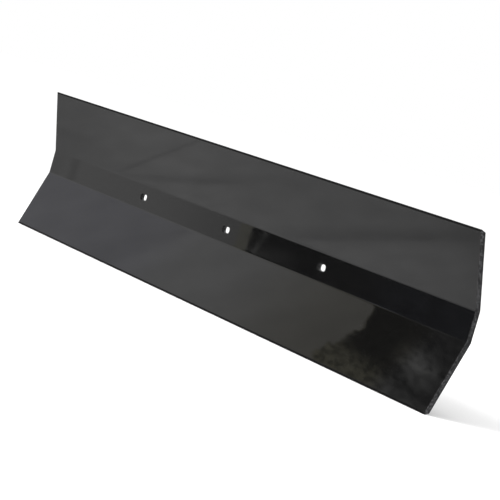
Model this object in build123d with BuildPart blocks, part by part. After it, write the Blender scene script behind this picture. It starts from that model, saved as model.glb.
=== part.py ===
from build123d import *
from math import cos, radians, sin
import os

# An ATV plow blade: one steel plate, press-braked lengthwise into a shallow dish of
# three flats, with three slots through the middle flat that bolt it to a plow frame.
#
# Millimetres. +X runs along the blade, +Y points to the rear and +Z up. The middle flat
# is vertical, and its rear face, which seats on the frame, lies in the plane Y = 0. The
# origin is on that face, at the centre of the middle slot.

# Plate
blade_length = 1219.2  # 48 in
plate_thickness = 6.35  # 1/4 in

# Flats, each measured on the front face from bend line to bend line or to the edge
top_flat = 92.0
middle_flat = 35.5
bottom_flat = 93.5

# Bends: each wing leans forward from the middle flat by its angle, in degrees
top_bend = 15.0
bottom_bend = 17.5
inside_bend_radius = 8.0

# Bevel along the rear of both long edges, which leaves the front corner as the edge
# that scrapes: how far it reaches through the plate, and how far up the wing
bevel_through_plate = 5.35
bevel_up_wing = 3.8

# Slots for 5/16 in bolts, in a row along the middle flat
slot_length = 20.6  # 13/16 in
slot_width = 8.7  # 11/32 in
slot_pitch = 265.0
slot_count = 3

front_y = -plate_thickness
half_middle = middle_flat / 2


def wing_corner(flat, bend, side):
    """Front corner of a wing's free edge, as (Y, Z). side is 1 above, -1 below."""
    y = front_y - flat * sin(radians(bend))
    z = side * (half_middle + flat * cos(radians(bend)))
    return y, z


with BuildPart() as blade_plate:
    # End profile: the front face's line, thickened to the rear
    with BuildSketch(Plane.YZ) as end_profile:
        with BuildLine() as outline:
            FilletPolyline(
                wing_corner(bottom_flat, bottom_bend, -1),
                (front_y, -half_middle),
                (front_y, half_middle),
                wing_corner(top_flat, top_bend, 1),
                radius=inside_bend_radius,
            )
            offset(amount=plate_thickness, side=Side.RIGHT)
        make_face()
    extrude(amount=blade_length / 2, both=True)

    # Bevels: the lowest flat face is the bottom edge, and the highest is the top edge
    for lowest_or_highest in (0, -1):
        free_edge = (
            blade_plate.faces().filter_by(GeomType.PLANE).sort_by(Axis.Z)[lowest_or_highest]
        )
        rear_corner = free_edge.edges().filter_by(Axis.X).sort_by(Axis.Y)[-1]
        chamfer(
            rear_corner,
            length=bevel_through_plate,
            length2=bevel_up_wing,
            reference=free_edge,
        )

    # Slots, cut from in front of the middle flat to behind it
    with BuildSketch(Plane.XZ.offset(2 * plate_thickness)) as slot_row:
        with GridLocations(slot_pitch, 0, slot_count, 1):
            SlotOverall(slot_length, slot_width)
    extrude(amount=-3 * plate_thickness, mode=Mode.SUBTRACT)

blade_plate.part.label = "blade_plate"

os.makedirs("parts", exist_ok=True)
export_step(blade_plate.part, "parts/blade_plate.step")
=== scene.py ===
import bmesh
import bpy
from math import cos, pi, radians, sin, sqrt, tan
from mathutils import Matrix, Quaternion, Vector, noise


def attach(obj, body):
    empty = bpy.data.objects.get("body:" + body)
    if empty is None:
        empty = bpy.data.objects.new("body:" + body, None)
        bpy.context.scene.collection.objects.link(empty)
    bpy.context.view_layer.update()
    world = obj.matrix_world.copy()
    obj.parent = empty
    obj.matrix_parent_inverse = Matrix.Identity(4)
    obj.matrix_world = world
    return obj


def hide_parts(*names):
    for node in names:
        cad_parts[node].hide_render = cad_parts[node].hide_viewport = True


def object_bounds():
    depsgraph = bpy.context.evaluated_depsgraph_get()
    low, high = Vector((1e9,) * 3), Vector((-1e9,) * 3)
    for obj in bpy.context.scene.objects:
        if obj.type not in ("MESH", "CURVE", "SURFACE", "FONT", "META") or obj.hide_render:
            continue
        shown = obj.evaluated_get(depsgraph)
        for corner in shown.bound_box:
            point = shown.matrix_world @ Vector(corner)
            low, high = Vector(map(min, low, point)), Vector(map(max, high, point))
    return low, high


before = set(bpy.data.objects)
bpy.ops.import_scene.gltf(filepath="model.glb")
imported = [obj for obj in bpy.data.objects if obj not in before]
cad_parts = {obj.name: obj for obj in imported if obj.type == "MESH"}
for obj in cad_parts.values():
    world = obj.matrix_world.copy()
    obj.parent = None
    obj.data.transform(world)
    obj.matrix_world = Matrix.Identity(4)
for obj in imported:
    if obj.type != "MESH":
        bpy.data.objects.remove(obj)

# An ATV plow blade: one gloss black steel plate with three flats and three slots.
#
# Metres, in the part's frame: +X runs along the blade, +Y points to the rear and +Z up.
# The plate is built as a shop makes it, from a flat blank that the press brake folds. A
# point of the blank is (x, s, depth). s runs up the front face from the middle flat's
# middle, and depth goes from the front face into the plate.

cad_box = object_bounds()
scene = bpy.context.scene

# ---------------------------------------------------------------- Sizes, as in part.py
plate_thickness = 0.00635
top_flat = 0.0920
middle_flat = 0.0355
bottom_flat = 0.0935
top_bend = radians(15.0)
bottom_bend = radians(17.5)
inside_bend_radius = 0.0080
bevel_through_plate = 0.00535
bevel_up_wing = 0.0038
slot_length = 0.0206
slot_width = 0.0087
slot_pitch = 0.2650

half_length = cad_box[1].x
slot_centres = (-slot_pitch, 0.0, slot_pitch)
edge_land = plate_thickness - bevel_through_plate

# ---------------------------------------------------------------- Sizes of the finish
softened_corner = 0.00035  # radius that paint and handling leave on a cut corner
wander_height = 0.00005  # how far the plate's face wanders from flat
wander_length = 0.22
cut_roughness = 0.00022  # depth of the tears that the shear leaves in the plate's ends
cut_grain = 0.0024
wear_reach = 0.006  # how far in from an edge the paint is dusty and rubbed

# ---------------------------------------------------------------- Steps of the mesh
column_step = 0.010
row_step = 0.0021
bend_step = 0.00035
layer_step = 0.00107
end_step = 0.002
patch_step = 0.002  # the patch of finer mesh round each slot
patch_half_length = 0.020
patch_half_height = 0.012
slot_rings = (0.35, 0.62, 0.82, 0.94, 1.0)  # from the patch's border, 0, to the slot, 1
quarter_steps = 9  # steps of a quarter turn of a slot's round end


def evenly(start, end, step):
    """Places after start, up to end itself, about a step apart."""
    count = max(1, round((end - start) / step))
    return [start + (end - start) * i / count for i in range(1, count + 1)]


def bend_start(bend):
    return middle_flat / 2 - inside_bend_radius * tan(bend / 2)


def bend_end(bend):
    return bend_start(bend) + inside_bend_radius * bend


def wing_end(flat, bend):
    return bend_end(bend) + flat - inside_bend_radius * tan(bend / 2)


top_end = wing_end(top_flat, top_bend)
bottom_end = wing_end(bottom_flat, bottom_bend)


def mesh_rows():
    """The blank's rows: s from the bottom edge to the top edge."""
    rows = [-bottom_end]
    for end, step in (
        (-bend_end(bottom_bend), row_step),
        (-bend_start(bottom_bend), bend_step),
        (-patch_half_height, row_step),
        (patch_half_height, patch_step),
        (bend_start(top_bend), row_step),
        (bend_end(top_bend), bend_step),
        (top_end, row_step),
    ):
        rows += evenly(rows[-1], end, step)
    return rows


def mesh_columns():
    """The blank's columns: x from the left end to the right end."""
    columns = [-half_length]
    columns += evenly(columns[-1], wear_reach - half_length, end_step)
    for centre in slot_centres:
        columns += evenly(columns[-1], centre - patch_half_length, column_step)
        columns += evenly(columns[-1], centre + patch_half_length, patch_step)
    columns += evenly(columns[-1], half_length - wear_reach, column_step)
    columns += evenly(columns[-1], half_length, end_step)
    return columns


rows = mesh_rows()
columns = mesh_columns()
layers = [0.0, edge_land] + evenly(edge_land, plate_thickness, layer_step)


# ---------------------------------------------------------------- From blank to blade
def edge_at(s):
    """Distance from the middle of the blank to its long edge on the side of s."""
    return top_end if s > 0 else bottom_end


def bevelled(s, depth):
    """Brings the rows near a long edge in, most at the edge, to leave its rear bevel."""
    side = 1 if s > 0 else -1
    taken = bevel_up_wing * max(depth - edge_land, 0) / bevel_through_plate
    reach = 4 * bevel_up_wing
    share = max(0, 1 - (edge_at(s) - abs(s)) / reach)
    return s - side * taken * share


def wandered(x, s, depth):
    """Moves front and rear alike, so that the plate wanders and keeps its thickness."""
    place = Vector((x / wander_length, 2 * s / wander_length, 0))
    return depth + wander_height * noise.noise(place)


def sheared(x, s, depth):
    """Tears the plate's two ends, less near the front face, where the shear came in."""
    if abs(x) < half_length:
        return x
    place = Vector((s, depth, x)) / cut_grain
    tear = cut_roughness * (0.5 + 0.5 * noise.noise(place)) * (depth / plate_thickness)
    return x * (1 - tear / half_length)


def folded(s, depth):
    """Y and Z of a point of the blank once the press brake has made both bends."""
    side, bend = (1, top_bend) if s > 0 else (-1, bottom_bend)
    past_start = abs(s) - bend_start(bend)
    turned = min(max(past_start / inside_bend_radius, 0), bend)
    along_wing = past_start - turned * inside_bend_radius
    radius = inside_bend_radius + depth
    y = -plate_thickness - inside_bend_radius + radius * cos(turned) - along_wing * sin(turned)
    z = bend_start(bend) + radius * sin(turned) + along_wing * cos(turned)
    return y, side * z


def on_blade(x, s, depth):
    s = bevelled(s, depth)
    y, z = folded(s, wandered(x, s, depth))
    return Vector((sheared(x, s, depth), y, z))


def edge_distance(x, s):
    """Distance over the blank to the nearest end, long edge or slot."""
    found = min(half_length - abs(x), edge_at(s) - abs(s))
    for centre in slot_centres:
        past_straight = max(abs(x - centre) - (slot_length - slot_width) / 2, 0)
        found = min(found, sqrt(past_straight**2 + s**2) - slot_width / 2)
    return max(found, 0)


# ---------------------------------------------------------------- Blade mesh
def all_round(quarter):
    """A closed loop, from its first quarter, which ends at the middle of the top."""
    half = quarter + [(-x, s) for x, s in reversed(quarter[:-1])]
    return half + [(x, -s) for x, s in reversed(half[1:-1])]


def patch_loop():
    """The border of a slot's patch, in steps of the mesh from the slot's centre."""
    across = round(patch_half_length / patch_step)
    up = round(patch_half_height / patch_step)
    right_side = [(across, step) for step in range(up)]
    top = [(step, up) for step in range(across, -1, -1)]
    return all_round(right_side + top)


def slot_loop():
    """The outline of a slot from its centre, with as many points as patch_loop has."""
    radius = slot_width / 2
    straight = slot_length / 2 - radius
    side_steps = len(patch_loop()) // 4 - quarter_steps
    turns = [pi / 2 * i / quarter_steps for i in range(quarter_steps)]
    cap = [(straight + radius * cos(turn), radius * sin(turn)) for turn in turns]
    side = [(straight * (1 - i / side_steps), radius) for i in range(side_steps + 1)]
    return all_round(cap + side)


class BladeMesh:
    """The plate's mesh: a front and a rear sheet, joined round the edge and in the slots."""

    face_paint = 0  # the numbers of the blade's two materials
    cut_paint = 1

    def __init__(self):
        self.bm = bmesh.new()
        self.near_edge = self.bm.verts.layers.float.new("near_edge")
        self.near_long_edge = self.bm.verts.layers.float.new("near_long_edge")
        self.through_plate = self.bm.verts.layers.float.new("through_plate")
        self.grid = {}

    def vertex(self, x, s, depth):
        """A vertex for this point of the blank, with the values that the paint reads."""
        made = self.bm.verts.new(on_blade(x, s, depth))
        made[self.near_edge] = max(0, 1 - edge_distance(x, s) / wear_reach)
        made[self.near_long_edge] = max(0, 1 - (edge_at(s) - abs(s)) / wear_reach)
        made[self.through_plate] = depth / plate_thickness
        return made

    def grid_vertex(self, column, row, layer):
        """The grid's vertex, made the first time it is wanted and shared after that."""
        key = (column, row, layer)
        if key not in self.grid:
            self.grid[key] = self.vertex(columns[column], rows[row], layers[layer])
        return self.grid[key]

    def face(self, corners, paint):
        made = self.bm.faces.new(corners)
        made.smooth = True
        made.material_index = paint

    def strip(self, loop, next_loop, paint, closed=False):
        """Faces between two lines of vertices of the same length."""
        last = len(loop) if closed else len(loop) - 1
        for i in range(last):
            j = (i + 1) % len(loop)
            self.face((loop[i], loop[j], next_loop[j], next_loop[i]), paint)

    def sheet(self, layer):
        """The front or the rear sheet, less the slots' patches."""
        for column in range(len(columns) - 1):
            x = (columns[column] + columns[column + 1]) / 2
            for row in range(len(rows) - 1):
                s = (rows[row] + rows[row + 1]) / 2
                in_patch = abs(s) < patch_half_height and any(
                    abs(x - centre) < patch_half_length for centre in slot_centres
                )
                if not in_patch:
                    near = [self.grid_vertex(column + i, row, layer) for i in (0, 1)]
                    far = [self.grid_vertex(column + i, row + 1, layer) for i in (0, 1)]
                    self.strip(near, far, self.face_paint)

    def edges(self):
        """The two cut ends, and the two long edges with their bevels."""
        ends = [[(column, row) for row in range(len(rows))] for column in (0, len(columns) - 1)]
        long = [[(column, row) for column in range(len(columns))] for row in (0, len(rows) - 1)]
        for edge in ends + long:
            lines = [
                [self.grid_vertex(column, row, layer) for column, row in edge]
                for layer in range(len(layers))
            ]
            for line, next_line in zip(lines, lines[1:]):
                self.strip(line, next_line, self.cut_paint)

    def slot_patch(self, centre, layer):
        """Rings of faces from the patch's border in to the slot. Returns the slot's ring."""
        middle_column = min(range(len(columns)), key=lambda i: abs(columns[i] - centre))
        middle_row = min(range(len(rows)), key=lambda i: abs(rows[i]))
        border = patch_loop()
        outline = slot_loop()
        ring = [
            self.grid_vertex(middle_column + across, middle_row + up, layer)
            for across, up in border
        ]
        for share in slot_rings:
            next_ring = [
                self.vertex(
                    centre + across * patch_step * (1 - share) + x * share,
                    up * patch_step * (1 - share) + s * share,
                    layers[layer],
                )
                for (across, up), (x, s) in zip(border, outline)
            ]
            self.strip(ring, next_ring, self.face_paint, closed=True)
            ring = next_ring
        return ring

    def slot(self, centre):
        """One slot: its patch in each sheet, and the wall between them."""
        ring = self.slot_patch(centre, 0)
        rear_ring = self.slot_patch(centre, len(layers) - 1)
        for depth in layers[1:-1]:
            next_ring = [self.vertex(centre + x, s, depth) for x, s in slot_loop()]
            self.strip(ring, next_ring, self.face_paint, closed=True)
            ring = next_ring
        self.strip(ring, rear_ring, self.face_paint, closed=True)

    def build(self):
        self.sheet(0)
        self.sheet(len(layers) - 1)
        self.edges()
        for centre in slot_centres:
            self.slot(centre)
        bmesh.ops.recalc_face_normals(self.bm, faces=self.bm.faces[:])
        mesh = bpy.data.meshes.new("painted_blade")
        self.bm.to_mesh(mesh)
        self.bm.free()
        return mesh


# ---------------------------------------------------------------- Nodes
def node(tree, kind, inputs, **settings):
    """Adds a node. inputs gives a socket, by name or number, its value or its feed."""
    made = tree.nodes.new(kind)
    for name, value in settings.items():
        setattr(made, name, value)
    for socket, value in inputs.items():
        if isinstance(value, bpy.types.NodeSocket):
            tree.links.new(value, made.inputs[socket])
        else:
            made.inputs[socket].default_value = value
    return made


def calculate(tree, operation, *values):
    return node(tree, "ShaderNodeMath", dict(enumerate(values)), operation=operation).outputs[0]


def rescale(tree, value, old, new, smooth=True):
    """Takes value from the range old to the range new, and holds it at that range's ends."""
    sockets = {0: value, 1: old[0], 2: old[1], 3: new[0], 4: new[1]}
    interpolation = "SMOOTHSTEP" if smooth else "LINEAR"
    made = node(tree, "ShaderNodeMapRange", sockets, interpolation_type=interpolation)
    return made.outputs[0]


def mesh_value(tree, name):
    """A value that the mesh holds at each of its points."""
    return node(tree, "ShaderNodeAttribute", {}, attribute_name=name).outputs["Fac"]


def noise_value(tree, place, grain, detail=3.0, stretch=(1, 1, 1), turn=0.0):
    """Noise with this grain in metres, lengthened along its axes and turned about Z."""
    moved = node(
        tree,
        "ShaderNodeMapping",
        {0: place, "Rotation": (0, 0, turn), "Scale": stretch},
        vector_type="TEXTURE",
    )
    sockets = {"Vector": moved.outputs[0], "Scale": 1 / grain, "Detail": detail}
    return node(tree, "ShaderNodeTexNoise", sockets).outputs["Fac"]


def mix_colors(tree, share, first, second):
    sockets = {0: share, 6: (*first, 1), 7: (*second, 1)}
    return node(tree, "ShaderNodeMix", sockets, data_type="RGBA").outputs[2]


def new_material(name):
    """A material with empty nodes. Returns it with its tree and its output node."""
    material = bpy.data.materials.new(name)
    material.use_nodes = True
    tree = material.node_tree
    tree.nodes.clear()
    return material, tree, tree.nodes.new("ShaderNodeOutputMaterial")


# ---------------------------------------------------------------- Paint
paint_ior = 1.5

# Grains of the gloss paint, in metres
dust_grain = 0.0016
edge_dust_grain = 0.0009
wipe_grain = 0.012
film_grain = 0.18
peel_grain = 0.0030

# Grains of the paint over the sheared steel, in metres
tear_grain = 0.0015
pit_grain = 0.0007


def gloss_black():
    """Sprayed gloss enamel: orange peel, wipe marks, dust, and long edges rubbed dull."""
    enamel = (0.0030, 0.0030, 0.0031)
    dust_grey = (0.040, 0.039, 0.038)
    dull_roughness = 0.35
    material, tree, output = new_material("gloss_black")
    place = node(tree, "ShaderNodeTexCoord", {}).outputs["Object"]
    near_edge = mesh_value(tree, "near_edge")

    specks = noise_value(tree, place, dust_grain, detail=2.0)
    specks = rescale(tree, specks, (0.74, 0.80), (0, 1))
    edge_specks = noise_value(tree, place, edge_dust_grain)
    edge_specks = rescale(tree, edge_specks, (0.60, 0.70), (0, 1))
    edge_dust = calculate(tree, "MULTIPLY", edge_specks, near_edge)
    dust = calculate(tree, "MAXIMUM", specks, edge_dust)

    wipes = noise_value(tree, place, wipe_grain, detail=4.0, stretch=(9, 1, 1))
    film = noise_value(tree, place, film_grain, detail=2.0)
    clean = rescale(tree, wipes, (0.35, 0.75), (0.012, 0.035))
    filmed = calculate(tree, "MULTIPLY", clean, rescale(tree, film, (0.35, 0.65), (0.8, 1.6)))
    rubbed = rescale(tree, mesh_value(tree, "near_long_edge"), (0.46, 0.66), (0, 1))
    dull = calculate(tree, "MAXIMUM", dust, rubbed)
    roughened = calculate(tree, "MULTIPLY", dull, dull_roughness)

    peel = noise_value(tree, place, peel_grain, detail=1.0)
    bumped = node(
        tree, "ShaderNodeBump", {"Strength": 0.05, "Distance": 0.00002, "Height": peel}
    )
    paint = node(
        tree,
        "ShaderNodeBsdfPrincipled",
        {
            "Base Color": mix_colors(tree, dust, enamel, dust_grey),
            "Roughness": calculate(tree, "ADD", filmed, roughened),
            "IOR": paint_ior,
            "Specular IOR Level": rescale(tree, rubbed, (0, 1), (0.5, 0.05)),
            "Normal": bumped.outputs[0],
        },
    )
    tree.links.new(paint.outputs[0], output.inputs[0])
    return material


def cut_edge_black():
    """The same paint over sheared steel: it lies thin on the tears and looks grey there."""
    thick_paint = (0.004, 0.004, 0.005)
    thin_paint = (0.070, 0.069, 0.072)
    pit_share = 0.4  # of the height, beside the tears
    material, tree, output = new_material("cut_edge_black")
    place = node(tree, "ShaderNodeTexCoord", {}).outputs["Object"]
    tears = noise_value(tree, place, tear_grain, detail=6.0, stretch=(1, 2, 1))
    pits = noise_value(tree, place, pit_grain)
    height = calculate(tree, "MULTIPLY_ADD", pits, pit_share, tears)
    tear_tops = rescale(tree, height, (0.68, 0.80), (0, 1))
    towards_front = rescale(tree, mesh_value(tree, "through_plate"), (0.62, 0.84), (1, 0))
    thin = calculate(tree, "MULTIPLY", tear_tops, towards_front)
    bumped = node(
        tree, "ShaderNodeBump", {"Strength": 0.7, "Distance": 0.00025, "Height": height}
    )
    paint = node(
        tree,
        "ShaderNodeBsdfPrincipled",
        {
            "Base Color": mix_colors(tree, thin, thick_paint, thin_paint),
            "Roughness": rescale(tree, pits, (0.3, 0.7), (0.28, 0.55)),
            "IOR": paint_ior,
            "Normal": bumped.outputs[0],
        },
    )
    tree.links.new(paint.outputs[0], output.inputs[0])
    return material


# ---------------------------------------------------------------- Blade
def make_blade():
    blade = bpy.data.objects.new("painted_blade", BladeMesh().build())
    scene.collection.objects.link(blade)
    blade.data.materials.append(gloss_black())
    blade.data.materials.append(cut_edge_black())
    softened = blade.modifiers.new("softened_corners", "BEVEL")
    softened.width = softened_corner
    softened.segments = 3
    softened.limit_method = "ANGLE"
    softened.angle_limit = radians(30)
    softened.harden_normals = True
    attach(blade, "root")
    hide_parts("blade_plate")


# ---------------------------------------------------------------- Studio
floor_reach = 40.0
floor_grain = 0.4


def flat_panel(name, corners, material):
    """A stage panel from its four corners."""
    mesh = bpy.data.meshes.new(name)
    mesh.from_pydata(corners, [], [(0, 1, 2, 3)])
    panel = bpy.data.objects.new(name, mesh)
    scene.collection.objects.link(panel)
    panel.data.materials.append(material)
    return panel


def make_floor(height):
    material, tree, output = new_material("pale_floor")
    place = node(tree, "ShaderNodeTexCoord", {}).outputs["Object"]
    cloudy = noise_value(tree, place, floor_grain)
    shade = mix_colors(tree, cloudy, (0.87, 0.87, 0.87), (0.90, 0.90, 0.90))
    surface = node(tree, "ShaderNodeBsdfDiffuse", {"Color": shade})
    tree.links.new(surface.outputs[0], output.inputs[0])
    far = floor_reach
    corners = [(-far, -far, height), (far, -far, height), (far, far, height), (-far, far, height)]
    floor = flat_panel("floor", corners, material)
    floor.visible_glossy = False


def make_light(name, place, aim, size, power):
    data = bpy.data.lights.new(name, "AREA")
    data.shape = "DISK"
    data.size = size
    data.energy = power
    light = bpy.data.objects.new(name, data)
    light.location = place
    light.rotation_mode = "QUATERNION"
    light.rotation_quaternion = (Vector(place) - Vector(aim)).to_track_quat("Z", "Y")
    light.visible_glossy = False
    scene.collection.objects.link(light)


def make_sky_light(strength):
    """A broad, soft light from straight above, which keeps the floor's far parts white."""
    data = bpy.data.lights.new("sky_light", "SUN")
    data.angle = radians(70)
    data.energy = strength
    scene.collection.objects.link(bpy.data.objects.new("sky_light", data))


def make_world(brightness):
    world = bpy.data.worlds.new("white_studio")
    scene.world = world
    world.use_nodes = True
    background = world.node_tree.nodes["Background"]
    background.inputs["Color"].default_value = (1, 1, 1, 1)
    background.inputs["Strength"].default_value = brightness


# ---------------------------------------------------------------- What the paint mirrors: painted reflections
# Gloss black paint shows little but what it mirrors, so a shell of soft light stands all
# round, and three glowing cards stand in front of it to the blade's left. The cards carry a
# painted reflection: ground, a wall with a dark doorway, sky and a tree, painted as light
# and shade. Only reflections see them. The top wing leans forward and mirrors the low card,
# the middle flat mirrors the card that is level with it, and the bottom wing mirrors the
# high card.
#
# Places on a card are metres above the origin, and metres to the right of the cards'
# middle line as the blade shows them to the camera. Levels are brightness, with 1 white.
# Azimuths turn from -Y towards +X.
shell_radius = 8.0
shell_level = 0.14  # at eye level
softboxes = (  # azimuth, elevation and reach in degrees, and level
    (25, 30, 34, 1.8),
    (165, 22, 36, 2.0),
    (-150, 40, 26, 1.2),
)
card_azimuth = radians(-62.0)
card_distance = 4.0
card_reach = 2.4  # each way from the cards' middle line
low_card_top = -0.45
high_card_bottom = 0.35

# Grains of the patterns on the shell and the cards, in metres
cloud_grain = 3.0
drift_grain = 0.045
smudge_grain = 0.07
wisp_grain = 0.06
leaf_grain = 0.022
twig_grain = 0.030


def card_places(tree):
    """A point of a card, and then how far right and how far up it is."""
    place = node(tree, "ShaderNodeTexCoord", {}).outputs["Object"]
    split = node(tree, "ShaderNodeSeparateXYZ", {0: place})
    return place, split.outputs["X"], split.outputs["Y"]


def past_line(tree, along, across, line):
    """How far across is past a line, height + slope * along."""
    height, slope = line
    on_line = calculate(tree, "MULTIPLY_ADD", along, slope, height)
    return calculate(tree, "SUBTRACT", across, on_line)


def soft_line(tree, past, before, after):
    """1 on a line, fading to 0 at these distances before and after it."""
    rising = rescale(tree, past, (-before, 0), (0, 1))
    falling = rescale(tree, past, (0, after), (1, 0))
    return calculate(tree, "MULTIPLY", rising, falling)


def soft_spot(tree, place, centre, reach):
    """1 at a spot's centre, fading to 0 at its reach. Both are (right, up)."""
    moved = node(tree, "ShaderNodeVectorMath", {0: place, 1: (*centre, 0)}, operation="SUBTRACT")
    scale = (1 / reach[0], 1 / reach[1], 0)
    scaled = node(
        tree, "ShaderNodeVectorMath", {0: moved.outputs[0], 1: scale}, operation="MULTIPLY"
    )
    far = node(tree, "ShaderNodeVectorMath", {0: scaled.outputs[0]}, operation="LENGTH")
    return rescale(tree, far.outputs["Value"], (0, 1), (1, 0))


def changed(tree, level, share, change):
    """level, changed by this fraction of itself where share is 1, and kept where it is 0."""
    factor = rescale(tree, share, (0, 1), (1, 1 + change), smooth=False)
    return calculate(tree, "MULTIPLY", level, factor)


def streaked(tree, level, past, fades, share, change):
    """level, changed by this fraction of itself along a soft line, where share is 1."""
    shade = soft_line(tree, past, *fades)
    return changed(tree, level, calculate(tree, "MULTIPLY", shade, share), change)


def varied(tree, level, pattern, change):
    """level, changed by up to this fraction of itself either way, as a noise pattern goes."""
    factor = rescale(tree, pattern, (0.3, 0.7), (1 - change, 1 + change))
    return calculate(tree, "MULTIPLY", level, factor)


def glow(tree, output, tint, level):
    """Makes a card shine in this tint, at this level."""
    surface = node(tree, "ShaderNodeEmission", {"Color": tint, "Strength": level})
    tree.links.new(surface.outputs[0], output.inputs[0])


def only_mirrored(piece):
    piece.visible_camera = False
    piece.visible_diffuse = False
    piece.visible_shadow = False


def direction(azimuth, elevation):
    """-Y, turned towards +X by the azimuth and up by the elevation, with a length of 1."""
    level = cos(elevation)
    return Vector((sin(azimuth) * level, -cos(azimuth) * level, sin(elevation)))


def make_shell():
    """The studio round the blade: dim at eye level, paler above and below, with softboxes."""
    material, tree, output = new_material("shell")
    place = node(tree, "ShaderNodeTexCoord", {}).outputs["Object"]
    height = node(tree, "ShaderNodeSeparateXYZ", {0: place}).outputs["Z"]
    above = rescale(tree, height, (0.05 * shell_radius, 0.70 * shell_radius), (0, 0.9))
    below = rescale(tree, height, (-0.10 * shell_radius, -0.45 * shell_radius), (0, 0.7))
    level = calculate(tree, "ADD", calculate(tree, "ADD", above, below), shell_level)
    for azimuth, elevation, reach, box_level in softboxes:
        toward = direction(radians(azimuth), radians(elevation)) / shell_radius
        facing = node(tree, "ShaderNodeVectorMath", {0: place, 1: toward}, operation="DOT_PRODUCT")
        share = (cos(radians(reach)), cos(radians(0.4 * reach)))
        box = rescale(tree, facing.outputs["Value"], share, (0, box_level))
        level = calculate(tree, "ADD", level, box)
    clouds = noise_value(tree, place, cloud_grain, detail=1.0)
    clouds = rescale(tree, clouds, (0.3, 0.7), (0.7, 1.3))
    glow(tree, output, (1, 1, 1, 1), calculate(tree, "MULTIPLY", level, clouds))

    mesh = bpy.data.meshes.new("shell")
    bm = bmesh.new()
    bmesh.ops.create_icosphere(bm, subdivisions=4, radius=shell_radius)
    bm.to_mesh(mesh)
    bm.free()
    shell = bpy.data.objects.new("shell", mesh)
    scene.collection.objects.link(shell)
    shell.data.materials.append(material)
    only_mirrored(shell)


def low_painted_reflection_card():
    """Painted reflection, glowing on a card: pale ground that grows brighter towards the blade,
    with soft streaks across it.
    """
    material, tree, output = new_material("low_painted_reflection_card")
    place, right, up = card_places(tree)
    far_ground = rescale(tree, right, (-0.82, -0.42), (0.38, 0.54))
    level = calculate(tree, "ADD", far_ground, rescale(tree, up, (-0.95, -1.30), (0, 0.05)))

    # A thin dark streak that climbs to the right
    thin = past_line(tree, right, up, (-0.816, 0.207))
    starts = rescale(tree, right, (-0.62, -0.55), (0, 1))
    level = streaked(tree, level, thin, (0.010, 0.011), starts, -0.15)

    # A longer one below it, which falls to the right and fades out
    long = past_line(tree, right, up, (-1.095, -0.24))
    ends = rescale(tree, right, (-0.38, -0.08), (1, 0))
    level = streaked(tree, level, long, (0.020, 0.024), ends, -0.16)

    # Paler ground between the two
    under_thin = rescale(tree, thin, (-0.03, -0.008), (1, 0))
    over_long = rescale(tree, long, (0.015, 0.04), (0, 1))
    wedge = calculate(tree, "MULTIPLY", calculate(tree, "MULTIPLY", under_thin, over_long), ends)
    level = changed(tree, level, wedge, 0.07)

    # A wide dark streak on the right, over paler ground
    wide = past_line(tree, right, up, (-1.268, -0.183))
    begins = rescale(tree, right, (-0.25, 0.0), (0, 1))
    level = streaked(tree, level, wide, (0.018, 0.070), begins, -0.19)
    level = changed(tree, level, rescale(tree, wide, (-0.05, -0.005), (1, 0)), 0.10)

    # Painted darker ground at the far right, and drifts over all of it
    level = changed(tree, level, rescale(tree, right, (0.38, 0.50), (0, 1)), -0.16)
    drifts = noise_value(
        tree, place, drift_grain, detail=5.0, stretch=(2.5, 1, 1), turn=radians(-12)
    )
    level = varied(tree, level, drifts, 0.07)
    glow(tree, output, (1, 1, 1, 1), level)
    return material


def level_painted_reflection_card():
    """Painted reflection, glowing on a card: a grey wall on the left. From the doorway on, the
    right is nearly black, a painted dark inside.
    """
    material, tree, output = new_material("level_painted_reflection_card")
    place, right, up = card_places(tree)
    doorway = 0.122
    post = -0.455
    gap_level = 0.13
    blur = 0.003

    # The painted wall, darker towards the doorway and beyond a corner post: painted shade
    wall = rescale(tree, right, (-0.22, doorway), (0.455, 0.35))
    corner_post = soft_line(tree, calculate(tree, "SUBTRACT", right, post), 0.025, 0.020)
    wall = changed(tree, wall, corner_post, -0.20)
    beyond_post = rescale(tree, right, (-0.52, -0.47), (1, 0))
    wall = changed(tree, wall, beyond_post, -0.10)

    # The painted dark inside, with painted light on the sill and through a gap at the door's edge
    inside = rescale(tree, right, (0.2, 0.8), (0.022, 0.050))
    sill = rescale(tree, up, (-0.205, -0.25), (0, 0.085))
    sill_reach = rescale(tree, right, (0.18, 0.30), (1, 0))
    inside = calculate(tree, "MULTIPLY_ADD", sill, sill_reach, inside)
    door_edge = past_line(tree, up, right, (0.222, 0.30))
    gap = soft_line(tree, door_edge, 0.014, 0.010)
    inside = calculate(tree, "MULTIPLY_ADD", gap, gap_level, inside)
    smudges = noise_value(tree, place, smudge_grain)
    inside = varied(tree, inside, smudges, 0.30)

    indoors = rescale(tree, right, (doorway - blur, doorway + blur), (0, 1))
    level = node(tree, "ShaderNodeMix", {0: indoors, 2: wall, 3: inside}).outputs[0]

    # The painted sky over the wall, dimmer behind the tree
    sky_level = rescale(tree, right, (0.56, 0.66), (0.75, 0.10))
    over_wall = calculate(tree, "MULTIPLY", rescale(tree, up, (0.16, 0.18), (0, 1)), sky_level)
    level = calculate(tree, "MAXIMUM", level, over_wall)

    frame_share = rescale(tree, right, (0.08, 0.09), (0, 1))
    wall_tint = mix_colors(tree, frame_share, (1.0, 0.995, 0.99), (1.02, 1.0, 0.86))
    far_inside = rescale(tree, right, (0.45, 0.65), (0, 1))
    inside_tint = mix_colors(tree, far_inside, (1.0, 1.0, 0.97), (0.92, 0.97, 1.15))
    tint = node(tree, "ShaderNodeMix", {0: indoors, 6: wall_tint, 7: inside_tint}, data_type="RGBA")
    glow(tree, output, tint.outputs[2], level)
    return material


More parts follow.
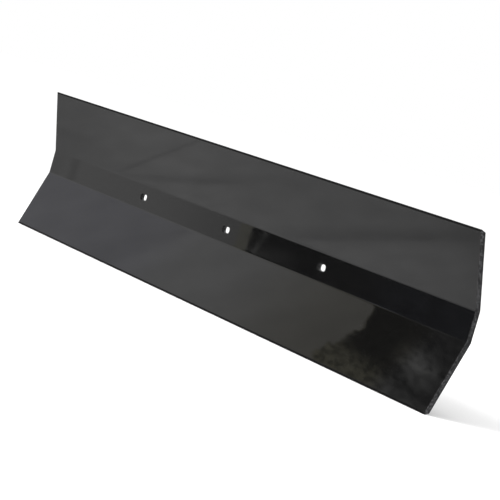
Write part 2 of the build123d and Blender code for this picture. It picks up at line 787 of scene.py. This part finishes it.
def sky(tree, place, right, up):
    """The high card's painted sky, a painted reflection: its glow level and its tint."""
    warm_dimming = -0.185
    level = rescale(tree, right, (-0.40, -0.22), (0.55, 0.60))
    warm = rescale(tree, right, (-0.10, 0.28), (0, 1))
    level = calculate(tree, "MULTIPLY_ADD", warm, warm_dimming, level)

    # A pale ridge of cloud with a darker side, and wisps over all of the sky
    ridge = past_line(tree, up, right, (-0.564, 0.40))
    level = changed(tree, level, soft_line(tree, ridge, 0.015, 0.045), 0.10)
    beside_ridge = calculate(tree, "ADD", ridge, 0.03)
    level = changed(tree, level, soft_line(tree, beside_ridge, 0.06, 0.02), -0.08)
    wisps = noise_value(tree, place, wisp_grain, detail=5.0, stretch=(3, 1, 1), turn=radians(62))
    level = varied(tree, level, wisps, 0.06)

    neutral = rescale(tree, right, (-0.35, -0.15), (0, 1))
    left_tint = mix_colors(tree, neutral, (0.98, 0.98, 1.05), (1.0, 1.0, 1.0))
    warm_tint = (1.04, 1.01, 0.91, 1)
    tint = node(tree, "ShaderNodeMix", {0: warm, 6: left_tint, 7: warm_tint}, data_type="RGBA")
    return level, tint.outputs[2]


def tree_crown(tree, place, right, up):
    """The high card's painted tree, a dark painted reflection: its glow level and its tint."""
    darkest = 0.02
    undergrowth_level = 0.28
    gap_level = 0.42
    leaves = noise_value(tree, place, leaf_grain, detail=5.0)

    # Dappled undergrowth, hidden where the trunk stands
    undergrowth = rescale(tree, past_line(tree, right, up, (0.92, 0.13)), (0.045, -0.04), (0, 1))
    dapple = rescale(tree, leaves, (0.36, 0.62), (0.42, 1.05))
    undergrowth = calculate(tree, "MULTIPLY", undergrowth, dapple)
    left_of_trunk = rescale(tree, right, (0.48, 0.58), (1, 0))
    over_trunk = rescale(tree, up, (0.86, 0.94), (0, 1))
    not_trunk = calculate(tree, "MAXIMUM", left_of_trunk, over_trunk)
    undergrowth = calculate(tree, "MULTIPLY", undergrowth, not_trunk)

    # A gap that shows the sky, and paler leaves at the far right
    gap = soft_spot(tree, place, (0.560, 1.094), (0.110, 0.082))
    gap = calculate(tree, "MULTIPLY", gap, rescale(tree, leaves, (0.34, 0.60), (0.32, 1.0)))
    pale_leaves = varied(tree, rescale(tree, right, (0.42, 0.58), (0.01, 0.065)), leaves, 0.7)

    level = calculate(tree, "MULTIPLY_ADD", undergrowth, undergrowth_level, darkest)
    level = calculate(tree, "MULTIPLY_ADD", gap, gap_level, level)
    level = calculate(tree, "ADD", level, pale_leaves)
    grey = rescale(tree, right, (0.46, 0.54), (0, 1))
    return level, mix_colors(tree, grey, (1.07, 1.02, 0.76), (1.0, 1.0, 0.98))


def high_painted_reflection_card():
    """Painted reflection, glowing on a card: a bright sky, with a dark tree on its right that lets
    some light through.
    """
    material, tree, output = new_material("high_painted_reflection_card")
    place, right, up = card_places(tree)
    sky_level, sky_tint = sky(tree, place, right, up)
    crown_level, crown_tint = tree_crown(tree, place, right, up)

    # The crown's outline stands further left below and above, and is uneven with twigs
    outline = calculate(tree, "ADD", right, rescale(tree, up, (1.04, 0.88), (0, 0.045)))
    outline = calculate(tree, "ADD", outline, rescale(tree, up, (1.08, 1.13), (0, 0.012)))
    twigs = noise_value(tree, place, twig_grain, detail=5.0)
    twigs = rescale(tree, twigs, (0.3, 0.7), (-0.009, 0.009))
    outline = calculate(tree, "ADD", outline, twigs)
    in_crown = rescale(tree, outline, (0.338, 0.356), (0, 1))

    level = node(tree, "ShaderNodeMix", {0: in_crown, 2: sky_level, 3: crown_level}).outputs[0]
    tint = node(tree, "ShaderNodeMix", {0: in_crown, 6: sky_tint, 7: crown_tint}, data_type="RGBA")
    glow(tree, output, tint.outputs[2], level)
    return material


def make_card(name, bottom, top, material):
    left, right = -card_reach, card_reach
    corners = [(left, bottom, 0), (right, bottom, 0), (right, top, 0), (left, top, 0)]
    card = flat_panel(name, corners, material)
    away = direction(card_azimuth, 0)
    card.location = away * card_distance
    card.rotation_mode = "QUATERNION"
    card.rotation_quaternion = away.to_track_quat("Z", "Y")
    only_mirrored(card)


# ---------------------------------------------------------------- Camera
camera_azimuth = radians(60.75)  # 0 looks along +Y, and 90 along -X
camera_elevation = radians(3.31)
camera_roll = radians(16.12)
camera_distance = 3.011
camera_aim = Vector((0.0796, -0.0064, -0.0132))
sensor_width = 36.0  # millimetres, as the focal length
focal_length = 165.6


def make_camera():
    data = bpy.data.cameras.new("camera")
    data.sensor_width = sensor_width
    data.lens = focal_length
    camera = bpy.data.objects.new("camera", data)
    back = direction(camera_azimuth, camera_elevation)
    camera.location = camera_aim + back * camera_distance
    camera.rotation_mode = "QUATERNION"
    camera.rotation_quaternion = back.to_track_quat("Z", "Y") @ Quaternion(
        (0, 0, 1), camera_roll
    )
    scene.collection.objects.link(camera)
    scene.camera = camera


# ---------------------------------------------------------------- Scene
make_blade()
make_world(brightness=1.0)
make_sky_light(strength=0.6)
make_floor(height=cad_box[0].z)
make_shell()
make_card("low_painted_reflection_card", -card_reach, low_card_top, low_painted_reflection_card())
make_card("level_painted_reflection_card", low_card_top, high_card_bottom, level_painted_reflection_card())
make_card("high_painted_reflection_card", high_card_bottom, card_reach, high_painted_reflection_card())
make_light("front", place=(0, -1.6, 1.3), aim=(0, 0, 0), size=1.6, power=46)
make_camera()
scene.view_settings.view_transform = "Standard"

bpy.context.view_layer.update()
